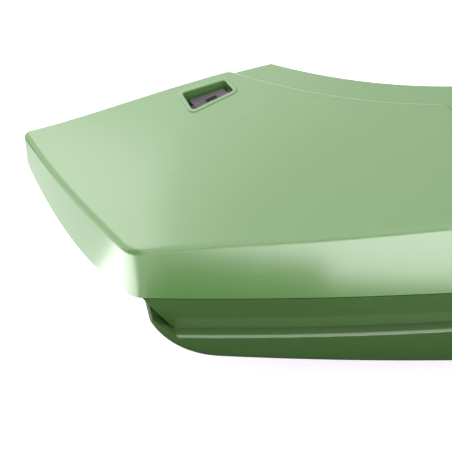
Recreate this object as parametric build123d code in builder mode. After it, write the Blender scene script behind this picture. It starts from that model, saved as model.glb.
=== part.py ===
"""Right-hand rear side cowl of a motorcycle, as a bench assembly of its separate pieces.

Frame: millimetres, +X forward, -X to the tail, -Y outward, +Z up. The origin is the centre of
the bore in the front mounting collar.
"""
from build123d import *
import math
import os

# ---------------------------------------------------------------- driving dimensions
LENGTH = 398.0            # tail tip to the front end of the skin
WIDTH = 151.0             # outermost line of the side to the centre-line edge
FRONT_X = -15.0           # front end of the skin
SIDE_Y = -9.0             # outermost line of the side
SIDE_RADIUS = 1470.0      # plan radius of the side
CORNER_RADIUS = 18.0      # plan radius of the rear corner
CORNER_BACK = 47.5        # rear corner ahead of the tail tip
REAR_BULGE = 2.5          # outward bow of the swept rear end
CREASE_RADIUS = 4.5       # rounding between the flank and the band

SKIN = 2.5                # wall of the painted covers
FLANK_CROWN = 6.0         # rise of the flank's arc over its chord
BAND_FLOOR = -22.0        # lower edge of the upright band
FLOOR_START = 41.0        # where that edge starts to rise on the rear end
FLOOR_RADIUS = 175.0      # arc on which it rises
FLANGE = 20.0             # depth of the inward flanges, from the skin line
FLANGE_MID = 11.0         # screw line, from the skin line
SHEET = 2.2               # thickness of flanges, lips and wells
SHUT_GAP = 1.0            # open line between the band and the lower trim

TRIM_HEIGHT = 25.0        # lower trim, top to bottom
TRIM_DRAFT = 15.0         # degrees its face leans in
TRIM_SET = 0.8            # its top edge behind the band's face
LEDGE_DEPTH = 22.0        # depth of the under cowl's flanges
UNDER_SET = 0.5           # under cowl's edge behind the band's face
UNDER_DRAFT = 8.0         # degrees its wall leans in
UNDER_DROP_REAR = 18.5    # under cowl's depth behind, under the ledge
UNDER_DROP_FRONT = 40.0   # and in front
UNDER_ROUND = 6.0         # rounding of its lower edge
UNDER_LIP = 1.6           # rounding of its upper edge
UNDER_WALL = 3.0          # its wall and flanges
UNDER_CURL = 12.0         # rise of its rear end over the ledge
UNDER_BEND = 95.0         # where its lower edge starts to curl up, ahead of the tail tip

SEAT_PEAK = 125.0         # seat cut-out: its start ahead of the tail tip
SEAT_END = 240.0          # its front corner ahead of the tail tip
SEAT_SAG = 9.0            # bow of its edge
SEAT_DEPTH = 60.5         # its front corner inside the centre-line edge
NOTCH_DEPTH = 14.0        # step down at the front corner
TONGUE_WIDTH = 31.0       # width of the front end of the skin
RAIL_SHOW = 17.0          # seat edge rail: width that shows
RAIL_LAP = 9.0            # width under the flank
RAIL_GAP = 0.15           # paint gap between the flank and the rail
RAIL_LENGTH = 180.0       # its length in X
RAIL_FLANGE = 10.0        # depth of its inner flange

MOUNT_BORE_R = 3.25       # M6 clearance in the collars
COLLAR_R = 5.0
COLLAR_LENGTH = 12.5
COLLAR_FLANGE_R = 9.0
COLLAR_FLANGE = 1.5
GROMMET_R = 11.0
GROMMET_GROOVE_R = 8.0
LUG = 3.0                 # plates that carry the grommets
PEG_R = 4.5               # push-in peg
PEG_LENGTH = 14.0

WELL_ANGLE = 14.0         # the hook well's long edge, from the X axis
WELL_TILT = 14.0          # and its rise towards the front
WELL_AHEAD = 109.0        # its centre ahead of the tail tip
WELL_INSIDE = 14.0        # its centre inside the centre-line edge
WELL_STAND = 1.32         # its own frame's origin above the flank
WELL_CORNERS = [(-14.0, -7.0), (13.5, -7.0), (13.0, 3.5), (-12.5, 9.0)]
WELL_DEPTH = 8.5          # lower rim of the well below that origin
WELL_RIM = 2.6            # width of the raised rim round it
WELL_RIM_RISE = 0.6
WELL_ROUND = 0.7          # rounding of its opening
HOUSING_DEPTH = 10.0      # hook housing below that rim
HOUSING_SCREWS = [-19.5, 18.5]
HOOK_PIN_R = 1.25
HOOK_CLEAR = 0.05         # running clearance on the pin
HOOK_HALF = 10.9          # half the hook's length
HOOK_THICK = 4.0
EAR = 1.8                 # housing ears that hold the pin
HOOK_GAP = 1.2            # hook to the well's far wall
HOOK_SIDE = 0.3           # hook to an ear
CORD_GROOVE_R = 1.6       # groove under the hook that holds a cord
PIN_V = -4.2              # pin line across the well
PIN_DEPTH = 5.3           # and below the frame's origin
SPRING_R = 2.1            # mean radius of the hook's spring
SPRING_WIRE_R = 0.35
SPRING_HALF = 3.3
SPRING_TURNS = 6

SCREW_R = 2.0             # trim screws
SCREW_OVER = 4.0          # thread past the clip nut's sheet
SCREW_HEAD_R = 4.0
SCREW_HEAD = 2.2
SMALL_SCREW_R = 1.4       # hook housing screws
SMALL_HEAD_R = 3.0
SMALL_HEAD = 1.8
THREAD_CLEAR = 0.02       # drawn clearance round a screw in its own thread
HOLE_CLEAR = 0.4          # clearance round a screw in a flange
WASHER_R = 6.0
WASHER = 1.0
CLIP_SHEET = 0.6          # spring-steel of the clip nuts
CLIP_WIDTH = 12.0
CLIP_FRONT = 5.0          # clip nut beyond the screw line, outward
CLIP_COLLAR = 3.0         # height of its threaded collar
CLIP_COLLAR_WALL = 1.4
PUSH_R = 3.0              # push clip shank
PUSH_PIN_R = 1.55
PUSH_CLEAR = 0.05
PUSH_FLANGE_R = 6.0
PUSH_LINE = 15.0          # its place, from the skin line
PUSH_FLANGE = 1.5
PUSH_GRIP = 6.0           # shank above the trim's flange
STAY = 2.0                # steel of the tail stay
STAY_BOLT_R = 2.5
STAY_HOLE_R = 3.3
SHIELD = 1.0              # heat shield sheet
SHIELD_DROP = 18.0
SHIELD_SIDE = 10.0        # sheet past the last rivet
RIVET_R = 1.6

POST_R = 3.2              # screw posts under the flank
PAD_R = 6.5               # the rail's pads on those posts
PAD_DROP = 9.5            # flat underside of a pad, under the flank
THREAD_REACH = 4.5        # screw in a post
CUP_R = 14.5              # grommet cup of the rail
CUP_DEPTH = 7.0
LUG_REACH = 14.0          # radius of the front lug
LUG_WEB = 9.6             # step between the lug and the band
PEG_BACK = 165.0          # peg behind the skin's front end
PEG_Z = -4.0
PEG_ROOT = 46.0           # where the peg leaves its post
STAY_AHEAD = 43.0         # tail stay ahead of the tail tip
STAY_HALF = 14.0          # half its width
STAY_LOW = 20.0           # lower edge of its tab
STAY_REACH = 26.0         # its level leg
STAY_HOLE_IN = 13.0       # frame bolt's hole from its inner face
STAY_BOLT_HALF = 8.0      # half the distance between its bolts
STAY_BOLT_RISE = 6.0      # bolts above the tab's lower edge
STAY_FOOT = 6.0           # its level leg below that edge
STAY_BEND = 1.5           # inside radius of its bend
STAY_CORNER = 5.0         # rounding of its level leg
STAY_HEAD_R = 4.6         # bolt heads and nuts
STAY_HEAD = 2.4
STAY_NUT = 4.0
PUSH_HOLE_CLEAR = 0.1     # push clip in its holes
PUSH_RECESS = 1.0         # seat of the centre pin's head
PAD_THICK = 3.0           # foam pads
PAD_LENGTH = 34.0
PAD_AHEAD = [70.0, 300.0] # their rear ends ahead of the tail tip
PAD_LOW = -14.0
PAD_HIGH = 2.0
SEAL_THICK = 4.0          # front seal
SEAL_WIDTH = 6.0
SEAL_UNDER = 11.9         # its top below the flank's outer line
EDGE_ROUND = 0.9          # rounding of the seat cut-out's edge

# ---------------------------------------------------------------- places worked out from them
TAIL_X = FRONT_X - LENGTH
CENTRE_Y = SIDE_Y + WIDTH
OVERRUN = 40.0            # how far forms run past what trims them
TRIM_TOP = BAND_FLOOR - SHUT_GAP
LEDGE_Z = TRIM_TOP - TRIM_HEIGHT
# Flank heights on two lines along the part: (ahead of the tail, outer line, centre-line edge).
FLANK_OUTER_Y = SIDE_Y + 34.0
FLANK = [(-17, -36, 24), (53, 1, 37), (133, 15, 55), (223, 26.5, 66),
         (LENGTH - 85, 30, 70), (LENGTH + 35, 31, 70)]
WELL_X = TAIL_X + WELL_AHEAD
WELL_Y = CENTRE_Y - WELL_INSIDE
PIN_HALF = HOOK_HALF + HOOK_SIDE + EAR
RAIL_DROP = SKIN + RAIL_GAP
RAIL_TIP = TAIL_X + SEAT_PEAK + 1.5
RAIL_START = TAIL_X + SEAT_PEAK + 14.0
RAIL_END = RAIL_START + RAIL_LENGTH
PEG_X = FRONT_X - PEG_BACK
STAY_X = TAIL_X + STAY_AHEAD
STAY_INNER_Y = CENTRE_Y - SHEET - STAY
STAY_BOLT_Z = STAY_LOW + STAY_BOLT_RISE
STAY_BOLTS = [(STAY_X - STAY_BOLT_HALF, STAY_BOLT_Z), (STAY_X + STAY_BOLT_HALF, STAY_BOLT_Z)]
TRIM_END_TOP = TAIL_X + 53.5
TRIM_END_LOW = TAIL_X + 70.5
UNDER_END_X = TAIL_X + 57.0
FRONT_MOUNT = Plane(origin=(0, 0, 0), x_dir=(1, 0, 0), z_dir=(0, -1, 0))
SCREW_STATIONS = [FRONT_X - 25.0, FRONT_X - 115.0, FRONT_X - 205.0, FRONT_X - 295.0]
PUSH_STATIONS = [FRONT_X - 60.0, FRONT_X - 165.0, FRONT_X - 270.0]
RIVET_STATIONS = [FRONT_X - 86.0, FRONT_X - 113.0, FRONT_X - 140.0]


def side_angle(x):
    """Angle of the side's plan arc at a station."""
    return math.asin((x - FRONT_X) / SIDE_RADIUS)


def side_point(x, inset=0.0):
    """Plan point on the side at a station, moved inward."""
    angle = side_angle(x)
    radius = SIDE_RADIUS - inset
    return (FRONT_X + radius * math.sin(angle), SIDE_Y + SIDE_RADIUS - radius * math.cos(angle))


def side_plane(x, inset, z, up=1):
    """Level plane on the side: X along it, normal up or down."""
    angle = side_angle(x)
    px, py = side_point(x, inset)
    return Plane(origin=(px, py, z), x_dir=(math.cos(angle), math.sin(angle), 0), z_dir=(0, 0, up))


def flank_height(x, y):
    """Height of the flank at a plan point, good to a fraction of a millimetre."""
    ahead = x - TAIL_X
    pairs = [p for p in zip(FLANK[:-1], FLANK[1:]) if p[0][0] <= ahead <= p[1][0]]
    (xa, lo_a, hi_a), (xb, lo_b, hi_b) = pairs[0]
    share = (ahead - xa) / (xb - xa)
    low = lo_a + (lo_b - lo_a) * share
    high = hi_a + (hi_b - hi_a) * share
    across = (y - FLANK_OUTER_Y) / (CENTRE_Y - FLANK_OUTER_Y)
    middle = (FLANK_OUTER_Y + CENTRE_Y) / 2
    half = (CENTRE_Y - FLANK_OUTER_Y) / 2 + 65
    return low + (high - low) * across + FLANK_CROWN * (1 - ((y - middle) / half) ** 2)


def make_flank_form():
    """Solid below the flank: arcs across the part, lofted along it."""
    reach = 65.0
    deep = -140.0
    with BuildPart() as form:
        for ahead, low, high in FLANK:
            slope = (high - low) / (CENTRE_Y - FLANK_OUTER_Y)
            y_out = FLANK_OUTER_Y - reach
            y_in = CENTRE_Y + reach
            z_out = low - slope * reach
            z_in = high + slope * reach
            y_mid = (y_out + y_in) / 2
            z_mid = (z_out + z_in) / 2 + FLANK_CROWN
            with BuildSketch(Plane.YZ.offset(TAIL_X + ahead)):
                with BuildLine():
                    ThreePointArc((y_out, z_out), (y_mid, z_mid), (y_in, z_in))
                    Polyline((y_in, z_in), (y_in, deep), (y_out, deep), (y_out, z_out))
                make_face()
        loft()
    return form.part


FLANK_FORM = make_flank_form()
WELL_LEVEL = flank_height(WELL_X, WELL_Y) + WELL_STAND
WELL_FLOOR = WELL_LEVEL - WELL_DEPTH
PIN_Z = WELL_LEVEL - PIN_DEPTH


def below_flank(drop=0.0):
    """The solid below the flank, lowered."""
    return FLANK_FORM.moved(Location((0, 0, -drop)))


def skin_plan(inset=0.0):
    """Plan of the skin line: the side, the rear corner and the swept rear end, moved inward."""
    corner = side_point(TAIL_X + CORNER_BACK)
    tip = (TAIL_X, CENTRE_Y)
    run_x = tip[0] - corner[0]
    run_y = tip[1] - corner[1]
    run = math.hypot(run_x, run_y)
    bow = ((corner[0] + tip[0]) / 2 - REAR_BULGE * run_y / run,
           (corner[1] + tip[1]) / 2 + REAR_BULGE * run_x / run)
    past_tip = (tip[0] - 0.4 * OVERRUN, tip[1] + OVERRUN)
    front = side_point(FRONT_X + OVERRUN)
    middle = side_point((FRONT_X + TAIL_X) / 2)
    with BuildSketch() as plan:
        with BuildLine():
            ThreePointArc(front, middle, corner)
            ThreePointArc(corner, bow, tip)
            Polyline(tip, past_tip, (front[0], past_tip[1]), front)
        make_face()
        fillet(plan.vertices().sort_by_distance(corner)[0], CORNER_RADIUS)
        if inset:
            offset(amount=-inset, mode=Mode.REPLACE)
    return plan.sketch


def seat_arc():
    """Edge of the seat cut-out, from its start on the centre-line edge to its front corner."""
    start = Vector(TAIL_X + SEAT_PEAK, CENTRE_Y)
    end = Vector(TAIL_X + SEAT_END, CENTRE_Y - SEAT_DEPTH)
    run = end - start
    middle = (start + end) / 2 + Vector(run.Y, -run.X).normalized() * SEAT_SAG
    return ThreePointArc(start, middle, end)


SEAT_ARC = seat_arc()


def cover_plan(inset=0.0):
    """Plan that the flank is trimmed to: centre-line edge, seat cut-out, notch, front tongue."""
    end = SEAT_ARC @ 1
    with BuildSketch() as plan:
        with BuildLine():
            Line((TAIL_X - OVERRUN, CENTRE_Y), SEAT_ARC @ 0)
            add(SEAT_ARC)
            Polyline(
                end,
                (end.X + 5, end.Y - NOTCH_DEPTH),
                (FRONT_X, SIDE_Y + TONGUE_WIDTH),
                (FRONT_X, SIDE_Y - OVERRUN),
                (TAIL_X - OVERRUN, SIDE_Y - OVERRUN),
                (TAIL_X - OVERRUN, CENTRE_Y),
            )
        make_face()
        fillet(plan.vertices().sort_by_distance(SEAT_ARC @ 0)[0], 6)
        fillet(plan.vertices().sort_by_distance(end)[0], 2)
        if inset:
            offset(amount=-inset, mode=Mode.REPLACE)
    return plan.sketch


def floor_form():
    """Solid below the band's lower edge, which rises towards the tail on an arc."""
    end_y = CENTRE_Y + OVERRUN / 2
    rise = FLOOR_RADIUS - math.sqrt(FLOOR_RADIUS ** 2 - (end_y - FLOOR_START) ** 2)
    with BuildPart() as form:
        with BuildSketch(Plane.YZ.offset(TAIL_X - OVERRUN)):
            with BuildLine():
                Line((SIDE_Y - OVERRUN, BAND_FLOOR), (FLOOR_START, BAND_FLOOR))
                TangentArc((FLOOR_START, BAND_FLOOR), (end_y, BAND_FLOOR + rise), tangent=(1, 0))
                Polyline((end_y, BAND_FLOOR + rise), (end_y, -160), (SIDE_Y - OVERRUN, -160),
                         (SIDE_Y - OVERRUN, BAND_FLOOR))
            make_face()
        extrude(amount=LENGTH + 3 * OVERRUN)
    return form.part


def prism(sketch, low, high):
    """A plan sketch as an upright prism between two heights."""
    with BuildPart() as form:
        with BuildSketch(Plane.XY.offset(low)):
            add(sketch)
        extrude(amount=high - low)
    return form.part


# ---------------------------------------------------------------- the hook well's own frame
def well_plane(z, up=1):
    """Plane of the well's own frame: X along its long edge, which rises to the front."""
    turn = math.radians(WELL_ANGLE)
    tilt = math.radians(WELL_TILT)
    along = Vector(math.cos(turn) * math.cos(tilt), math.sin(turn) * math.cos(tilt), math.sin(tilt))
    normal = Vector(-math.cos(turn) * math.sin(tilt), -math.sin(turn) * math.sin(tilt), math.cos(tilt))
    centre = Vector(WELL_X, WELL_Y, WELL_LEVEL) + normal * (z - WELL_LEVEL)
    return Plane(origin=centre, x_dir=along, z_dir=normal * up)


def well_outline(grow=0.0):
    """Four-sided outline of the well with rounded corners."""
    with BuildSketch() as outline:
        with BuildLine():
            Polyline(WELL_CORNERS, close=True)
        make_face()
        fillet(outline.vertices(), 1.6)
        if grow:
            offset(amount=grow, mode=Mode.REPLACE)
    return outline.sketch


def well_prism(grow, low, high):
    """The well's outline, grown, as an upright prism."""
    with BuildPart() as form:
        with BuildSketch(well_plane(low)):
            add(well_outline(grow))
        extrude(amount=high - low)
    return form.part


def well_far(u):
    """Distance across the well to its far wall at a place along it."""
    right, left = WELL_CORNERS[2:]
    share = (u - left[0]) / (right[0] - left[0])
    return left[1] + (right[1] - left[1]) * share


# ---------------------------------------------------------------- fasteners
def pan_screw(seat, shank_r, length, head_r, head):
    """Cross-recessed screw: its head stands on the plane and its shank runs the other way."""
    with BuildPart() as screw:
        with BuildSketch(seat):
            Circle(head_r)
        extrude(amount=head)
        fillet(screw.faces().sort_by(Axis(seat.origin, seat.z_dir))[-1].edges(), head * 0.45)
        with BuildSketch(seat):
            Circle(shank_r)
        extrude(amount=-length)
        with BuildSketch(seat.offset(head)):
            Rectangle(head_r * 1.0, head_r * 0.26)
            Rectangle(head_r * 0.26, head_r * 1.0)
        extrude(amount=-head * 0.6, mode=Mode.SUBTRACT)
    return screw.part


def washer(seat, bore_r):
    """Plain washer that stands on the plane."""
    with BuildPart() as ring:
        with BuildSketch(seat):
            Circle(WASHER_R)
            Circle(bore_r, mode=Mode.SUBTRACT)
        extrude(amount=WASHER)
    return ring.part


# ---------------------------------------------------------------- places of the rail's screws
def rail_post_places():
    """Plan points of the posts that hold the rail, on the lapped strip."""
    centre = SEAT_ARC.arc_center
    radius = SEAT_ARC.radius + RAIL_LAP / 2
    places = []
    for share in (0.22, 0.56, 0.9):
        spoke = (SEAT_ARC @ share - centre).normalized()
        places.append(centre + spoke * radius)
    return places


# ---------------------------------------------------------------- side cowl
def make_side_cowl():
    """Painted cover: sloping flank, rounded crease, upright band, flanges, well and lugs."""
    with BuildPart() as outer:
        add(prism(skin_plan(), -60, 120))
        add(below_flank(), mode=Mode.INTERSECT)
        top = outer.faces().sort_by(Axis.Z)[-1]
        crease = [e for e in top.edges() if e.center().Y < CENTRE_Y + 5 and e.center().X < FRONT_X + 20]
        fillet(crease, CREASE_RADIUS)
    with BuildPart() as inner:
        add(prism(skin_plan(SKIN), -80, 120))
        add(below_flank(SKIN), mode=Mode.INTERSECT)
        top = inner.faces().sort_by(Axis.Z)[-1]
        crease = [e for e in top.edges() if e.center().Y < CENTRE_Y + 5 and e.center().X < FRONT_X + 20]
        fillet(crease, CREASE_RADIUS - SKIN / 2)
    floor = floor_form()
    with BuildPart() as flange:
        add(prism(skin_plan(SKIN - 0.5), -60, 40))
        add(prism(skin_plan(FLANGE), -70, 50), mode=Mode.SUBTRACT)
        add(floor.moved(Location((0, 0, SHEET))), mode=Mode.INTERSECT)
    with BuildPart() as lips:
        with BuildSketch(Plane.XY.offset(0)):
            add(cover_plan())
            add(cover_plan(SHEET), mode=Mode.SUBTRACT)
            with Locations((TAIL_X + SEAT_PEAK / 2 - OVERRUN, CENTRE_Y)):
                Rectangle(SEAT_PEAK + OVERRUN, 4 * SHEET, mode=Mode.INTERSECT)
        extrude(amount=120)
        add(below_flank(SKIN / 2), mode=Mode.INTERSECT)
        add(below_flank(7), mode=Mode.SUBTRACT)
        add(prism(skin_plan(SKIN / 2), 0, 120), mode=Mode.INTERSECT)
    with BuildPart() as tongue_lip:
        with BuildSketch(Plane.XY.offset(0)):
            add(cover_plan())
            add(cover_plan(SHEET), mode=Mode.SUBTRACT)
            with Locations((FRONT_X - 70, SIDE_Y + 55)):
                Rectangle(138, 60, mode=Mode.INTERSECT)
        extrude(amount=120)
        add(below_flank(SKIN / 2), mode=Mode.INTERSECT)
        add(below_flank(7), mode=Mode.SUBTRACT)
    with BuildPart() as posts:
        for place in rail_post_places():
            pad = flank_height(place.X, place.Y) - PAD_DROP
            with BuildSketch(Plane.XY.offset(pad + 0.2)):
                with Locations((place.X, place.Y)):
                    Circle(POST_R)
            extrude(amount=60)
        for u in HOUSING_SCREWS:
            with BuildSketch(well_plane(WELL_FLOOR)):
                with Locations((u, 0)):
                    Circle(POST_R)
            extrude(amount=60)
        add(below_flank(SKIN / 2), mode=Mode.INTERSECT)
    with BuildPart() as side_cowl:
        add(outer.part)
        add(inner.part, mode=Mode.SUBTRACT)
        add(prism(cover_plan(), -80, 130), mode=Mode.INTERSECT)
        add(flange.part)
        add(floor, mode=Mode.SUBTRACT)
        add(prism(cover_plan(), -80, 130), mode=Mode.INTERSECT)
        add(lips.part)
        add(tongue_lip.part)
        add(posts.part)
        # The hook well: an opening in the flank with its own walls and a raised rim.
        add(well_walls())
        add(well_rim())
        add(well_prism(0, WELL_FLOOR - 5, WELL_FLOOR + 60), mode=Mode.SUBTRACT)
        # Front lug, joggled in behind the band, and its grommet hole.
        with BuildSketch(Plane.XZ.offset(-LUG / 2 - COLLAR_FLANGE / 2)):
            with Locations((0, 0)):
                Circle(LUG_REACH)
            with Locations((-LUG_REACH - 3, 0)):
                Rectangle(2 * LUG_REACH + 6, 2 * LUG_REACH)
        extrude(amount=LUG)
        with BuildSketch(Plane.XZ.offset(-LUG / 2 - COLLAR_FLANGE / 2)):
            with Locations((-LUG_REACH * 2 - 1, 0)):
                Rectangle(12, 2 * LUG_REACH)
        extrude(amount=LUG_WEB)
        with BuildSketch(Plane.XZ.offset(-LUG)):
            Circle(GROMMET_GROOVE_R)
        extrude(amount=2 * LUG, mode=Mode.SUBTRACT)
        # Push-in peg on a ribbed post behind the band.
        add(peg_post())
        # Tab for the tail stay on the centre-line edge.
        add(stay_tab())
        # Screw holes.
        for place in rail_post_places():
            pad = flank_height(place.X, place.Y) - PAD_DROP
            with BuildSketch(Plane.XY.offset(pad)):
                with Locations((place.X, place.Y)):
                    Circle(SMALL_SCREW_R + THREAD_CLEAR)
            extrude(amount=THREAD_REACH + 0.5, mode=Mode.SUBTRACT)
        for u in HOUSING_SCREWS:
            with BuildSketch(well_plane(WELL_FLOOR)):
                with Locations((u, 0)):
                    Circle(SMALL_SCREW_R + THREAD_CLEAR)
            extrude(amount=THREAD_REACH + 0.5, mode=Mode.SUBTRACT)
        for x in SCREW_STATIONS:
            with BuildSketch(side_plane(x, FLANGE_MID, BAND_FLOOR)):
                Circle(SCREW_R + HOLE_CLEAR)
            extrude(amount=SHEET, mode=Mode.SUBTRACT)
        # Rounded edges: the seat cut-out and the well's opening.
        fillet([e for e in side_cowl.edges() if on_seat_edge(e.center())], EDGE_ROUND)
        fillet([e for e in side_cowl.edges() if on_well_edge(e.center())], WELL_ROUND)
    return side_cowl.part


def on_seat_edge(spot):
    """Whether a point is on the upper edge of the seat cut-out."""
    if not TAIL_X + SEAT_PEAK < spot.X < TAIL_X + SEAT_END:
        return False
    reach = math.hypot(spot.X - SEAT_ARC.arc_center.X, spot.Y - SEAT_ARC.arc_center.Y)
    above = spot.Z > flank_height(spot.X, spot.Y) - SKIN / 2
    return above and abs(reach - SEAT_ARC.radius) < SKIN


def on_well_edge(spot):
    """Whether a point is on the upper edge of the well's opening."""
    place = well_plane(WELL_LEVEL).to_local_coords(spot)
    left = WELL_CORNERS[0][0] - 0.4
    right = WELL_CORNERS[1][0] + 0.4
    near = WELL_CORNERS[0][1] - 0.4
    inside = left < place.X < right and near < place.Y < well_far(place.X) + 0.4
    return inside and spot.Z > flank_height(spot.X, spot.Y) + WELL_RIM_RISE / 2 - 0.3


def well_walls():
    """Walls of the well between its lower rim and the flank."""
    with BuildPart() as walls:
        add(well_prism(SHEET, WELL_FLOOR, WELL_FLOOR + 60))
        add(below_flank(SKIN / 2), mode=Mode.INTERSECT)
    return walls.part


def well_rim():
    """Low raised rim round the well, with a rounded outer edge."""
    with BuildPart() as rim:
        add(well_prism(WELL_RIM, WELL_LEVEL - 12, WELL_LEVEL + 20))
        add(below_flank(-WELL_RIM_RISE), mode=Mode.INTERSECT)
        upper = rim.faces().sort_by(Axis.Z)[-1]
        fillet(upper.edges(), WELL_RIM_RISE * 0.9)
        add(below_flank(SKIN / 2), mode=Mode.SUBTRACT)
    return rim.part


def peg_post():
    """Cross-ribbed post from the band's inner face, with the peg on its end."""
    start = side_point(PEG_X, SKIN / 2)[1]
    with BuildPart() as post:
        with BuildSketch(Plane.XZ.offset(-start)):
            with Locations((PEG_X, PEG_Z)):
                Rectangle(2.4, 18)
                Rectangle(18, 2.4)
        extrude(amount=-(PEG_ROOT - start))
        with BuildSketch(Plane.XZ.offset(-PEG_ROOT + 2)):
            with Locations((PEG_X, PEG_Z)):
                Circle(9)
        extrude(amount=-2)
        with BuildSketch(Plane.XZ.offset(-PEG_ROOT)):
            with Locations((PEG_X, PEG_Z)):
                Circle(PEG_R)
        extrude(amount=-PEG_LENGTH)
        chamfer(post.faces().sort_by(Axis.Y)[-1].edges(), 1)
    return post.part


def stay_tab():
    """Tab that hangs from the centre-line edge, with two bolt holes."""
    with BuildPart() as tab:
        with BuildSketch(Plane.XZ.offset(-CENTRE_Y)):
            with Locations((STAY_X, STAY_LOW + 20)):
                Rectangle(2 * STAY_HALF, 40)
        extrude(amount=SHEET)
        add(below_flank(SKIN / 2), mode=Mode.INTERSECT)
        with BuildSketch(Plane.XZ.offset(-CENTRE_Y)):
            with Locations(*STAY_BOLTS):
                Circle(STAY_BOLT_R + HOLE_CLEAR)
        extrude(amount=SHEET, mode=Mode.SUBTRACT)
    return tab.part


# ---------------------------------------------------------------- seat edge rail
def rail_ring(outside, inside, start=RAIL_START, deep=0.0):
    """Upright prism over a strip along the seat cut-out, below the lowered flank."""
    centre = SEAT_ARC.arc_center
    with BuildPart() as strip:
        with BuildSketch():
            with Locations((centre.X, centre.Y)):
                Circle(SEAT_ARC.radius + outside)
                Circle(SEAT_ARC.radius + inside, mode=Mode.SUBTRACT)
            with Locations(((start + RAIL_END) / 2, CENTRE_Y - 50)):
                Rectangle(RAIL_END - start, 100, mode=Mode.INTERSECT)
        extrude(amount=120)
        add(below_flank(RAIL_DROP + deep), mode=Mode.INTERSECT)
    return strip.part


def rail_mount_plane():
    """Plane of the rail's grommet: origin at the centre of the collar's bore, normal up."""
    centre = SEAT_ARC.arc_center
    x = RAIL_END - CUP_R - 1.5
    radius = SEAT_ARC.radius - (RAIL_SHOW - RAIL_LAP) / 2
    y = centre.Y - math.sqrt(radius ** 2 - (x - centre.X) ** 2)
    z = flank_height(x, y) - RAIL_DROP - CUP_DEPTH - LUG / 2 + COLLAR_FLANGE / 2
    return Plane(origin=(x, y, z), x_dir=(1, 0, 0), z_dir=(0, 0, 1))


def make_seat_edge_rail():
    """Painted strip along the seat cut-out, lapped under the flank, with a grommet cup in front."""
    seat = rail_mount_plane()
    cup_floor = seat.offset(-COLLAR_FLANGE / 2 - LUG / 2)
    with BuildPart() as pads:
        for place in rail_post_places():
            with BuildSketch(Plane.XY.offset(flank_height(place.X, place.Y) - PAD_DROP)):
                with Locations((place.X, place.Y)):
                    Circle(PAD_R)
            extrude(amount=40)
        with BuildSketch(cup_floor):
            Circle(CUP_R)
        extrude(amount=40)
        add(below_flank(RAIL_DROP), mode=Mode.INTERSECT)
    with BuildPart() as seat_edge_rail:
        add(rail_ring(RAIL_LAP, -RAIL_SHOW))
        add(rail_ring(1.5, -RAIL_SHOW, start=RAIL_TIP))
        add(below_flank(RAIL_DROP + SKIN), mode=Mode.SUBTRACT)
        add(rail_ring(-RAIL_SHOW + SHEET, -RAIL_SHOW, deep=SKIN / 2))
        add(below_flank(RAIL_DROP + RAIL_FLANGE), mode=Mode.SUBTRACT)
        add(pads.part)
        with BuildSketch(cup_floor.offset(LUG)):
            Circle(CUP_R - SHEET)
        extrude(amount=30, mode=Mode.SUBTRACT)
        with BuildSketch(cup_floor):
            Circle(GROMMET_GROOVE_R)
        extrude(amount=LUG, mode=Mode.SUBTRACT)
        for place in rail_post_places():
            with BuildSketch(Plane.XY.offset(flank_height(place.X, place.Y) - PAD_DROP - 1)):
                with Locations((place.X, place.Y)):
                    Circle(POST_R + HOLE_CLEAR / 2)
            extrude(amount=40, mode=Mode.SUBTRACT)
    return seat_edge_rail.part


# ---------------------------------------------------------------- lower trim and under cowl
def leaning(inset, high, low, draft):
    """Solid inside the skin line whose wall leans in from its upper edge to its lower one."""
    with BuildPart() as form:
        with BuildSketch(Plane.XY.offset(high)):
            add(skin_plan(inset))
        with BuildSketch(Plane.XY.offset(low)):
            add(skin_plan(inset + (high - low) * math.tan(math.radians(draft))))
        loft(ruled=True)
    return form.part


def trim_side(back=0.0):
    """Side view of the lower trim as a slab across the part, its slanted end moved forward."""
    with BuildPart() as slab:
        with BuildSketch(Plane.XZ.offset(OVERRUN)):
            with BuildLine():
                Polyline(
                    (TRIM_END_TOP + back, TRIM_TOP),
                    (FRONT_X + back, TRIM_TOP),
                    (FRONT_X + back, LEDGE_Z),
                    (TRIM_END_LOW + back, LEDGE_Z),
                    close=True,
                )
            make_face()
        extrude(amount=-WIDTH - OVERRUN)
    return slab.part


def make_lower_trim():
    """Recessed trim below the band: a drafted face between two flanges, closed at its slanted end."""
    lean = math.tan(math.radians(TRIM_DRAFT))
    with BuildPart() as hollow:
        add(leaning(TRIM_SET + SHEET + SHEET * lean, TRIM_TOP - SHEET, LEDGE_Z + SHEET, TRIM_DRAFT))
        add(trim_side(1.2 * SHEET), mode=Mode.INTERSECT)
    with BuildPart() as lower_trim:
        add(leaning(TRIM_SET, TRIM_TOP, LEDGE_Z, TRIM_DRAFT))
        add(trim_side(), mode=Mode.INTERSECT)
        add(hollow.part, mode=Mode.SUBTRACT)
        add(prism(skin_plan(FLANGE), LEDGE_Z - 5, TRIM_TOP + 5), mode=Mode.SUBTRACT)
        for x in SCREW_STATIONS:
            with BuildSketch(side_plane(x, FLANGE_MID, TRIM_TOP - SHEET)):
                Circle(SCREW_R + HOLE_CLEAR)
            extrude(amount=SHEET, mode=Mode.SUBTRACT)
        for x in PUSH_STATIONS:
            with BuildSketch(side_plane(x, PUSH_LINE, LEDGE_Z)):
                Circle(PUSH_R + PUSH_HOLE_CLEAR)
            extrude(amount=SHEET, mode=Mode.SUBTRACT)
        for x in RIVET_STATIONS:
            with BuildSketch(side_plane(x, PUSH_LINE, LEDGE_Z)):
                Circle(RIVET_R + THREAD_CLEAR)
            extrude(amount=SHEET, mode=Mode.SUBTRACT)
    return lower_trim.part


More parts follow.
